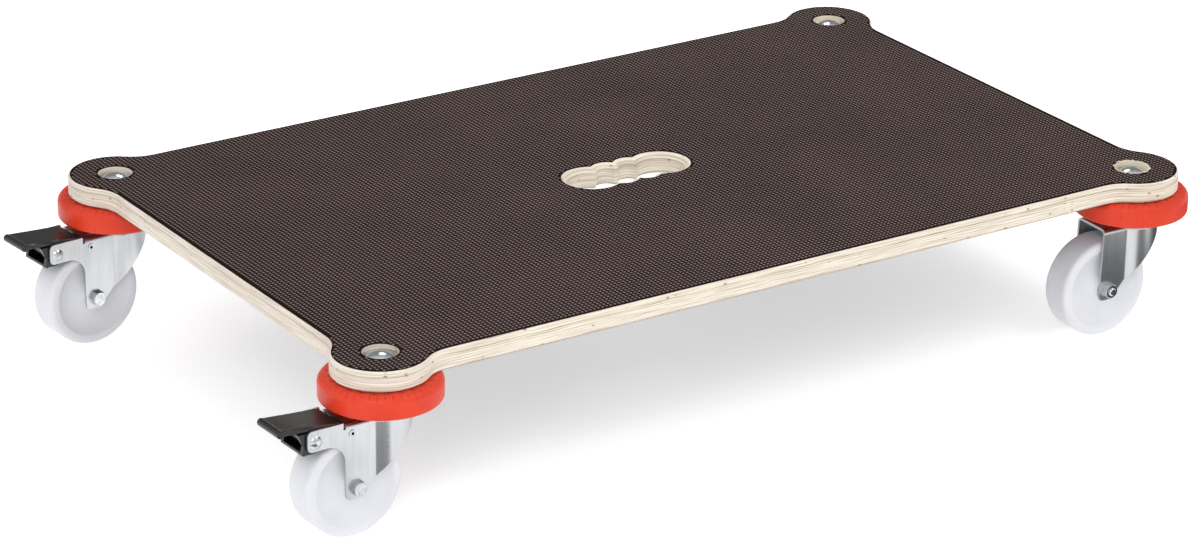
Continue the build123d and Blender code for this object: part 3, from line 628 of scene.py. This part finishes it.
@dataclass
class AntislipFilm:
    """The deck's top film: a thin sheet under a square lattice of raised pips."""

    node: str = "deck_top_film"
    pitch: float = 4.45 * MM
    pip_height: float = 0.28 * MM
    pip_foot: float = 2.45 * MM
    pip_top: float = 1.75 * MM
    pip_sides: int = 4
    edge_margin: float = 1.6 * MM
    wall_tilt: float = 0.5
    cast_height: float = 10 * MM
    well_reach: float = 20 * MM
    torn_corner: Corner = Corner.FRONT_RIGHT
    rim_tear: float = 2.0 * MM
    rim_chip: float = 0.35 * MM
    tear_ripple: float = 11.0
    tear_base: float = 0.4
    tear_swing: float = 1.6
    fibre_count: int = 46
    fibre_length: float = 2.6 * MM
    fibre_half: float = 0.6
    fibre_lean: float = 0.4
    fibre_ripple: float = 7.3
    fibre_shift: float = 5.0
    fibre_least: float = 0.1
    fibre_base: float = 0.5
    fibre_swing: float = 1.5
    fibre_low: float = 0.1 * MM
    fibre_high: float = 0.02 * MM
    weld: float = 0.001 * MM

    def sheet(self, material: bpy.types.Material) -> bpy.types.Object:
        """The film's base, lower than the CAD film by a pip's height, with worn rims at the wells.

        Args:
            material: the base's finish.

        Returns:
            The piece.
        """
        low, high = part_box(self.node)
        bm = bmesh.new()
        bm.from_mesh(frame["nodes"][self.node].data)
        bmesh.ops.remove_doubles(bm, verts=bm.verts, dist=self.weld)
        posts = {corner: middle_of(f"bumper_{corner.value}") for corner in Corner}
        for vert in bm.verts:
            if vert.co.z > (low.z + high.z) / 2:
                vert.co.z -= self.pip_height
            for corner, post in posts.items():
                arm = Vector((vert.co.x - post.x, vert.co.y - post.y, 0.0))
                if arm.length < self.well_reach:
                    vert.co += arm.normalized() * self.tear(corner, arm)
        mesh = bpy.data.meshes.new("antislip_sheet")
        bm.to_mesh(mesh)
        bm.free()
        mesh.materials.append(material)
        return new_piece("antislip_sheet", mesh)

    def tear(self, corner: Corner, arm: Vector) -> float:
        """How far the film is torn back at one place of a well's rim.

        Args:
            corner: the post whose well it is.
            arm: the place, from the well's axis.

        Returns:
            The tear's width.
        """
        depth = self.rim_tear if corner is self.torn_corner else self.rim_chip
        ripple = noise.noise(arm.normalized() * self.tear_ripple + Vector((0.0, 0.0, len(corner.value))))
        return depth * min(1.0, max(0.0, self.tear_base + self.tear_swing * ripple))

    def uneven(self, ripple: float) -> float:
        """A fibre's share of the greatest length, from a noise value."""
        return min(1.0, max(self.fibre_least, self.fibre_base + self.fibre_swing * ripple))

    def fibres(self, material: bpy.types.Material) -> bpy.types.Object:
        """The ring of pale wood fibres that stand into the torn well, each one a thin wedge.

        Args:
            material: the plywood's finish.

        Returns:
            The piece.
        """
        low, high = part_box(self.node)
        levels = (low.z + self.fibre_low, high.z - self.fibre_high)
        post = middle_of(f"bumper_{self.torn_corner.value}")
        places = [vert.co for vert in frame["nodes"][self.node].data.vertices]
        rim = min(Vector((place.x - post.x, place.y - post.y)).length for place in places)
        step = 2 * math.pi / self.fibre_count
        half = self.fibre_half * step
        shift = Vector((0.0, 0.0, self.fibre_shift))
        verts: list[Vector] = []
        faces: list[tuple[int, ...]] = []
        for index in range(self.fibre_count):
            turn = index * step
            around = self.fibre_ripple * Vector((math.cos(turn), math.sin(turn), 0.0))
            ripple = noise.noise(around)
            root = rim + self.rim_tear * self.uneven(noise.noise(around + shift))
            tip = rim - self.fibre_length * self.uneven(ripple)
            plan = ((root, turn - half), (root, turn + half), (tip, turn + self.fibre_lean * step * ripple))
            first = len(verts)
            for z in levels:
                verts += [Vector((post.x + r * math.cos(a), post.y + r * math.sin(a), z)) for r, a in plan]
            faces += [(first + 2, first + 1, first), (first + 3, first + 4, first + 5)]
            sides = [(k, (k + 1) % 3) for k in range(3)]
            faces += [(first + k, first + n, first + 3 + n, first + 3 + k) for k, n in sides]
        mesh = bpy.data.meshes.new("torn_rim")
        mesh.from_pydata(verts, [], faces)
        mesh.materials.append(material)
        return new_piece("torn_rim", mesh)

    def pip_tree(self) -> bpy.types.NodeTree:
        """Geometry nodes that set a pip at each lattice point lying on the film.

        Returns:
            The tree.
        """
        tree = bpy.data.node_groups.new("Antislip Pips", "GeometryNodeTree")
        new_socket = tree.interface.new_socket
        new_socket("Film", in_out="INPUT", socket_type="NodeSocketGeometry")
        for label in ("Pitch", "Foot", "Top", "Height", "Margin", "Side"):
            new_socket(label, in_out="INPUT", socket_type="NodeSocketFloat")
        new_socket("Finish", in_out="INPUT", socket_type="NodeSocketMaterial")
        new_socket("Pips", in_out="OUTPUT", socket_type="NodeSocketGeometry")
        graph = Graph(tree)
        given = graph.add("NodeGroupInput").outputs
        box = graph.add("GeometryNodeBoundBox", {"Geometry": given["Film"]}).outputs
        middle = graph.vector("SCALE", graph.vector("ADD", box["Min"], box["Max"]).outputs[0])
        middle.inputs["Scale"].default_value = 0.5
        raised = self.lattice(graph, given, box, middle.outputs[0])
        cast = {"Target Geometry": given["Film"], "Ray Direction": (0.0, 0.0, -1.0)}
        down = graph.add("GeometryNodeRaycast", cast).outputs
        seated = graph.add("GeometryNodeMeshToPoints", {
            "Mesh": raised, "Selection": down["Is Hit"], "Position": down["Hit Position"],
        }).outputs[0]
        placed = graph.add("GeometryNodeInstanceOnPoints", {
            "Points": seated, "Selection": self.wanted(graph, given, middle.outputs[0]),
            "Instance": self.pip(graph, given),
        }).outputs[0]
        real = graph.add("GeometryNodeRealizeInstances", {"Geometry": placed}).outputs[0]
        dressed = {"Geometry": real, "Material": given["Finish"]}
        done = graph.add("GeometryNodeSetMaterial", dressed).outputs[0]
        graph.add("NodeGroupOutput", {"Pips": done})
        return tree

    def lattice(self, graph: Graph, given: bpy.types.NodeOutputs, box: bpy.types.NodeOutputs,
                middle: Socket) -> Socket:
        """The lattice's points, held above the film.

        Args:
            graph: the tree's graph.
            given: the tree's inputs.
            box: the film's box.
            middle: the box's middle.

        Returns:
            A grid mesh.
        """
        size = graph.vector("SUBTRACT", box["Max"], box["Min"]).outputs[0]
        counts = [self.even_count(graph, graph.along(axis, size), given["Pitch"]) for axis in ("X", "Y")]
        gaps = [graph.math("SUBTRACT", count, 1.0) for count in counts]
        spans = [graph.math("MULTIPLY", gap, given["Pitch"]) for gap in gaps]
        grid = graph.add("GeometryNodeMeshGrid", {
            "Size X": spans[0], "Size Y": spans[1], "Vertices X": counts[0], "Vertices Y": counts[1],
        }).outputs["Mesh"]
        above = graph.vector("ADD", middle, (0.0, 0.0, self.cast_height)).outputs[0]
        return graph.add("GeometryNodeSetPosition", {"Geometry": grid, "Offset": above}).outputs[0]

    @staticmethod
    def even_count(graph: Graph, length: Socket, pitch: Socket) -> Socket:
        """An even number of lattice points along a length, so that none lies on its middle."""
        pairs = graph.math("ROUND", graph.math("DIVIDE", graph.math("DIVIDE", length, pitch), 2.0))
        return graph.math("MULTIPLY", pairs, 2.0)

    def wanted(self, graph: Graph, given: bpy.types.NodeOutputs, middle: Socket) -> Socket:
        """Which points get a pip: those clear of the film's edges, in the wanted half.

        Args:
            graph: the tree's graph.
            given: the tree's inputs.
            middle: the middle of the film's box.

        Returns:
            The selection.
        """
        facing = graph.along("Z", graph.add("GeometryNodeInputNormal").outputs[0])
        upright = graph.math("LESS_THAN", graph.math("ABSOLUTE", facing), self.wall_tilt)
        film = {"Geometry": given["Film"], "Selection": upright}
        walls = graph.add("GeometryNodeSeparateGeometry", film, domain="FACE").outputs[0]
        edge = graph.in_order(graph.add("GeometryNodeProximity"), (walls,))
        inside = graph.math("GREATER_THAN", edge.outputs["Distance"], given["Margin"])
        here = graph.along("X", graph.add("GeometryNodeInputPosition").outputs[0])
        aside = graph.math("MULTIPLY", graph.math("SUBTRACT", here, graph.along("X", middle)), given["Side"])
        return graph.math("MULTIPLY", inside, graph.math("GREATER_THAN", aside, 0.0))

    def pip(self, graph: Graph, given: bpy.types.NodeOutputs) -> Socket:
        """One pip: a low square stud with sloping sides.

        Args:
            graph: the tree's graph.
            given: the tree's inputs.

        Returns:
            The pip's mesh.
        """
        corner = math.sqrt(0.5)
        stud = graph.add("GeometryNodeMeshCone", {
            "Vertices": self.pip_sides, "Depth": given["Height"],
            "Radius Top": graph.math("MULTIPLY", given["Top"], corner),
            "Radius Bottom": graph.math("MULTIPLY", given["Foot"], corner),
        }, fill_type="NGON").outputs["Mesh"]
        turned = {"Geometry": stud, "Rotation": (0.0, 0.0, math.pi / self.pip_sides)}
        return graph.add("GeometryNodeTransform", turned).outputs[0]

    def pips(self, name: str, side: float, tree: bpy.types.NodeTree, sheet: bpy.types.Object,
             material: bpy.types.Material) -> bpy.types.Object:
        """The pips of one half of the deck, as a plain mesh.

        Args:
            name: the piece's name.
            side: 1 for the half towards +X, -1 for the other.
            tree: the pips' geometry nodes.
            sheet: the film's base, which they stand on.
            material: their finish.

        Returns:
            The piece.
        """
        piece = new_piece(name, sheet.data.copy())
        modifier = piece.modifiers.new("pips", "NODES")
        modifier.node_group = tree
        values = {
            "Pitch": self.pitch, "Foot": self.pip_foot, "Top": self.pip_top, "Height": self.pip_height,
            "Margin": self.edge_margin, "Side": side, "Finish": material,
        }
        for item in tree.interface.items_tree:
            if item.in_out == "INPUT" and item.name in values:
                modifier[item.identifier] = values[item.name]
        evaluated = piece.evaluated_get(bpy.context.evaluated_depsgraph_get())
        mesh = bpy.data.meshes.new_from_object(evaluated)
        piece.modifiers.remove(modifier)
        piece.data = mesh
        mesh.name = name
        return piece

    def build(self, sheet_finish: Finish, pip_finish: Finish, wood: bpy.types.Material) -> None:
        """Makes the film and lets it stand for the CAD film.

        Args:
            sheet_finish: the base's finish.
            pip_finish: the pips' finish, pale partly as painted highlight on the pip tops and partly as worn
                film.
            wood: the plywood's finish, for the fibres at the torn well.
        """
        sheet = self.sheet(sheet_finish.build())
        tree = self.pip_tree()
        material = pip_finish.build()
        halves = {"antislip_pips_front": 1.0, "antislip_pips_rear": -1.0}
        pieces = [sheet] + [self.pips(name, side, tree, sheet, material) for name, side in halves.items()]
        slots = {piece: Slot.ANTISLIP_FILM for piece in pieces}
        slots[self.fibres(wood)] = Slot.PLYWOOD
        for piece, slot in slots.items():
            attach(piece, "deck")
            LOG.info("%s: %d faces", piece.name, len(piece.data.polygons))
        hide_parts(self.node)


@dataclass
class Deck:
    """The plywood deck with its films, bolts, washers and nuts."""

    film: AntislipFilm

    def dress(self) -> None:
        """Gives each piece of the deck its finish."""
        low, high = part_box("deck_core")
        ply = BirchPly("sanded_plywood", bottom=low.z, height=high.z - low.z).build()
        polished = PhenolicFilm("smooth_film", smooth=0.3, rough=0.4, gloss=0.5).build()
        plate = ZincPlate(
            "bright_zinc", tone=(0.86, 0.90, 0.94, 1.0), dull_tone=(0.64, 0.69, 0.74, 1.0),
            smooth=0.11, rough=0.19,
        ).build()
        finishes = {
            "deck_core": ply, "deck_bottom_film": polished,
            "deck_bolts": plate, "clamp_washers": plate, "clamp_nuts": plate,
        }
        for node, material in finishes.items():
            paint(node, material)
            LOG.info("%s dressed", node)
        # Painted highlight: the pips are coloured far paler than the film to stand in for glints on their
        # tops, partly also worn film.
        pale = PhenolicFilm(
            "antislip_pips", colour=(0.160, 0.113, 0.105, 1.0), scuffed=(0.190, 0.136, 0.127, 1.0),
            smooth=0.45, rough=0.6, gloss=0.2,
        )
        self.film.build(PhenolicFilm("antislip_film", gloss=0.04), pale, ply)


@dataclass
class Caster:
    """One swivel caster: bumper, swivel head, fork, wheel and axle."""

    corner: Corner
    finishes: dict[Slot, bpy.types.Material]

    def node(self, piece: str) -> str:
        """A piece's node name at this corner."""
        return f"{piece}_{self.corner.value}"

    def wheel_finish(self) -> bpy.types.Material:
        """The wheel's own finish, whose rings run about its axle.

        Returns:
            The material.
        """
        joint = next(j for j in frame["joints"] if j["name"] == self.node("roll"))
        name = self.node("white_polyamide")
        return Polyamide(name, centre=tuple(joint["pos_m"]), axle=tuple(joint["axis"])).build()

    def bumper_finish(self) -> bpy.types.Material:
        """The bumper's own finish, whose moulding lines run about its post."""
        centre = tuple(middle_of(self.node("bumper")))
        return BumperPlastic(self.node("bumper_plastic"), centre=centre).build()

    def dress(self) -> None:
        """Gives each piece of the caster its finish."""
        slots = {
            Slot.RACE_STEEL: ("top_cup", "swivel_sleeve", "lower_cap", "swivel_balls", "axle_sleeve"),
            Slot.FORK_ZINC: ("fork",),
            Slot.BUSH_PLASTIC: ("wheel_bush",),
            Slot.BOLT_ZINC: ("axle_bolt", "axle_nut"),
        }
        if self.corner.braked:
            slots[Slot.PEDAL_PLASTIC] = ("pedal",)
            slots[Slot.BOLT_ZINC] += ("pedal_pin", "shoe_pin")
            slots[Slot.RACE_STEEL] += ("brake_shoe",)
        finishes = {piece: self.finishes[slot] for slot, pieces in slots.items() for piece in pieces}
        finishes["wheel"] = self.wheel_finish()
        finishes["bumper"] = self.bumper_finish()
        for piece, material in finishes.items():
            paint(self.node(piece), material)
            LOG.info("%s dressed", self.node(piece))


def caster_finishes() -> dict[Slot, bpy.types.Material]:
    """The finishes that all casters share.

    Returns:
        A material for each slot.
    """
    black = SatinPlastic(
        "pedal_plastic", colour=(0.0035, 0.0035, 0.004, 1.0), shade=(0.006, 0.006, 0.0065, 1.0),
        smooth=0.20, rough=0.30,
    )
    bright = ZincPlate(
        "bolt_zinc", tone=(0.70, 0.73, 0.76, 1.0), dull_tone=(0.36, 0.39, 0.42, 1.0),
        smooth=0.15, rough=0.28, cloud_scale=240.0,
    )
    grey = ZincPlate("race_steel", tone=(0.50, 0.51, 0.52, 1.0), dull_tone=(0.40, 0.41, 0.42, 1.0))
    return {
        Slot.PEDAL_PLASTIC: black.build(),
        Slot.BUSH_PLASTIC: SatinPlastic("bush_plastic").build(),
        Slot.FORK_ZINC: ZincPlate("fork_zinc").build(),
        Slot.BOLT_ZINC: bright.build(),
        Slot.RACE_STEEL: grey.build(),
    }


@dataclass(frozen=True)
class MirrorCard:
    """A card on the floor that only shows in shiny metal: a rectangle placed from the deck's middle."""

    name: str
    low: tuple[float, float]
    high: tuple[float, float]
    glow: float = 0.0
    height: float = 1 * MM
    tone: Colour = (0.05, 0.055, 0.06, 1.0)

    def build(self, middle: Vector) -> None:
        """Lays the card on the floor.

        Args:
            middle: the deck's middle.
        """
        mesh = flat_mesh(self.name, (middle.x, middle.y, self.height), self.low, self.high)
        material = bpy.data.materials.new(self.name)
        material.use_nodes = True
        shader = material.node_tree.nodes["Principled BSDF"].inputs
        shader["Base Color"].default_value = self.tone
        shader["Roughness"].default_value = 1.0
        shader["Emission Color"].default_value = WHITE
        shader["Emission Strength"].default_value = self.glow
        mesh.materials.append(material)
        card = new_piece(self.name, mesh)
        card.visible_camera = False
        card.visible_diffuse = False
        card.visible_shadow = False


def flat_mesh(name: str, start: Point, low: tuple[float, float], high: tuple[float, float]) -> bpy.types.Mesh:
    """A level rectangle.

    Args:
        name: the mesh's name.
        start: the point that its corners are measured from.
        low: its lowest x and y.
        high: its highest x and y.

    Returns:
        The mesh.
    """
    corners = ((low[0], low[1]), (high[0], low[1]), (high[0], high[1]), (low[0], high[1]))
    mesh = bpy.data.meshes.new(name)
    mesh.from_pydata([(start[0] + x, start[1] + y, start[2]) for x, y in corners], [], [(0, 1, 2, 3)])
    return mesh


@dataclass(frozen=True)
class SoftLight:
    """A square soft light that points at the deck."""

    name: str
    place: Point
    size: float
    power: float

    def build(self, target: Vector) -> None:
        """Hangs the light.

        Args:
            target: the point that it is aimed at.
        """
        data = bpy.data.lights.new(self.name, "AREA")
        data.size = self.size
        data.energy = self.power
        lamp = bpy.data.objects.new(self.name, data)
        lamp.location = self.place
        lamp.rotation_euler = (target - Vector(self.place)).to_track_quat("-Z", "Y").to_euler()
        bpy.context.scene.collection.objects.link(lamp)


@dataclass
class Studio:
    """White floor, soft light and a camera at the photograph's angle."""

    azimuth: float = math.radians(33.458)
    elevation: float = math.radians(22.648)
    roll: float = math.radians(0.722)
    aim: tuple[float, float] = (-0.1604, -0.1984)
    distance: float = 4.073
    lens: float = 131.94
    sensor: float = 36.0
    floor_size: float = 30.0
    floor_tone: Colour = (0.86, 0.86, 0.86, 1.0)
    floor_glow: float = 0.5
    floor_bounce: float = 0.34
    sky_strength: float = 0.85
    back_strength: float = 0.24
    back_height: float = math.radians(18)
    back_outer: float = 0.45
    back_inner: float = 0.92
    cards: tuple[MirrorCard, ...] = (
        MirrorCard("dark_card_leg", (0.41, -0.72), (0.590, -0.32)),
        MirrorCard("dark_card_back", (0.590, -0.44), (1.10, 0.35)),
        MirrorCard("dark_card_rear", (-0.66, -0.60), (-0.436, -0.33), glow=0.22),
        MirrorCard("pale_card_rear", (-0.46, 0.00), (-0.24, 0.19), glow=1.45),
    )
    lights: tuple[SoftLight, ...] = (
        SoftLight("key", (-2.4, -2.6, 2.6), 1.6, 40.0),
        SoftLight("fill", (1.1, -1.5, 2.5), 1.0, 12.0),
        SoftLight("rim", (1.3, 2.0, 2.6), 0.9, 9.0),
    )

    def camera(self) -> None:
        """The camera, aimed at a point of the deck's top."""
        level_right = Vector((math.cos(self.azimuth), -math.sin(self.azimuth), 0.0))
        flat = Vector((math.sin(self.azimuth), math.cos(self.azimuth), 0.0))
        ahead = flat * math.cos(self.elevation) - Vector((0.0, 0.0, math.sin(self.elevation)))
        level_up = level_right.cross(ahead)
        right = level_right * math.cos(self.roll) + level_up * math.sin(self.roll)
        up = level_up * math.cos(self.roll) - level_right * math.sin(self.roll)
        deck = middle_of("deck_core")
        target = Vector((deck.x + self.aim[0], deck.y + self.aim[1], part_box("deck_top_film")[1].z))
        data = bpy.data.cameras.new("camera")
        data.lens = self.lens
        data.sensor_width = self.sensor
        camera = bpy.data.objects.new("camera", data)
        turn = Matrix((right, up, -ahead)).transposed().to_4x4()
        camera.matrix_world = Matrix.Translation(target - ahead * self.distance) @ turn
        bpy.context.scene.collection.objects.link(camera)
        bpy.context.scene.camera = camera

    def floor(self) -> None:
        """A plain white floor under the wheels that glows a little, as a light table does."""
        half = self.floor_size / 2
        mesh = flat_mesh("floor", (0.0, 0.0, 0.0), (-half, -half), (half, half))
        material = bpy.data.materials.new("studio_floor")
        material.use_nodes = True
        graph = Graph(material.node_tree)
        shader = material.node_tree.nodes["Principled BSDF"].inputs
        shader["Base Color"].default_value = self.floor_tone
        shader["Roughness"].default_value = 1.0
        shader["Specular IOR Level"].default_value = 0.0
        shader["Emission Color"].default_value = WHITE
        soft = graph.add("ShaderNodeLightPath").outputs["Is Diffuse Ray"]
        glow = graph.span(soft, 0.0, 1.0, self.floor_glow, self.floor_bounce)
        graph.feed(shader["Emission Strength"], glow)
        mesh.materials.append(material)
        new_piece("studio_floor", mesh)

    def sky(self) -> None:
        """Even white light all round, with a darker back wall for shiny surfaces to mirror."""
        world = bpy.data.worlds.new("studio")
        world.use_nodes = True
        graph = Graph(world.node_tree)
        wall = Vector((
            math.sin(self.azimuth) * math.cos(self.back_height),
            math.cos(self.azimuth) * math.cos(self.back_height),
            math.sin(self.back_height),
        ))
        sight = graph.add("ShaderNodeTexCoord").outputs["Generated"]
        facing = graph.vector("DOT_PRODUCT", sight, wall).outputs["Value"]
        mirrored = graph.span(facing, self.back_outer, self.back_inner, self.sky_strength, self.back_strength)
        plain = world.node_tree.nodes["Background"]
        plain.inputs["Color"].default_value = WHITE
        plain.inputs["Strength"].default_value = self.sky_strength
        shiny = graph.add("ShaderNodeBackground", {"Color": WHITE, "Strength": mirrored})
        glossy = graph.add("ShaderNodeLightPath").outputs["Is Glossy Ray"]
        choice = (glossy, plain.outputs[0], shiny.outputs[0])
        either = graph.in_order(graph.add("ShaderNodeMixShader"), choice)
        graph.feed(world.node_tree.nodes["World Output"].inputs["Surface"], either.outputs[0])
        bpy.context.scene.world = world

    def build(self) -> None:
        """Sets up floor, cards, sky, lights and camera."""
        middle = middle_of("deck_core")
        self.floor()
        for piece in self.cards + self.lights:
            piece.build(middle)
        self.sky()
        self.camera()
        bpy.context.scene.view_settings.view_transform = "Standard"
        LOG.info("studio set up")


def main() -> None:
    """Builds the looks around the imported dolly."""
    logging.basicConfig(level=logging.INFO, format="%(message)s")
    SharedEffects().build()
    Studio().build()
    Deck(AntislipFilm()).dress()
    finishes = caster_finishes()
    for corner in Corner:
        Caster(corner, finishes).dress()


if __name__ == "__main__":
    main()
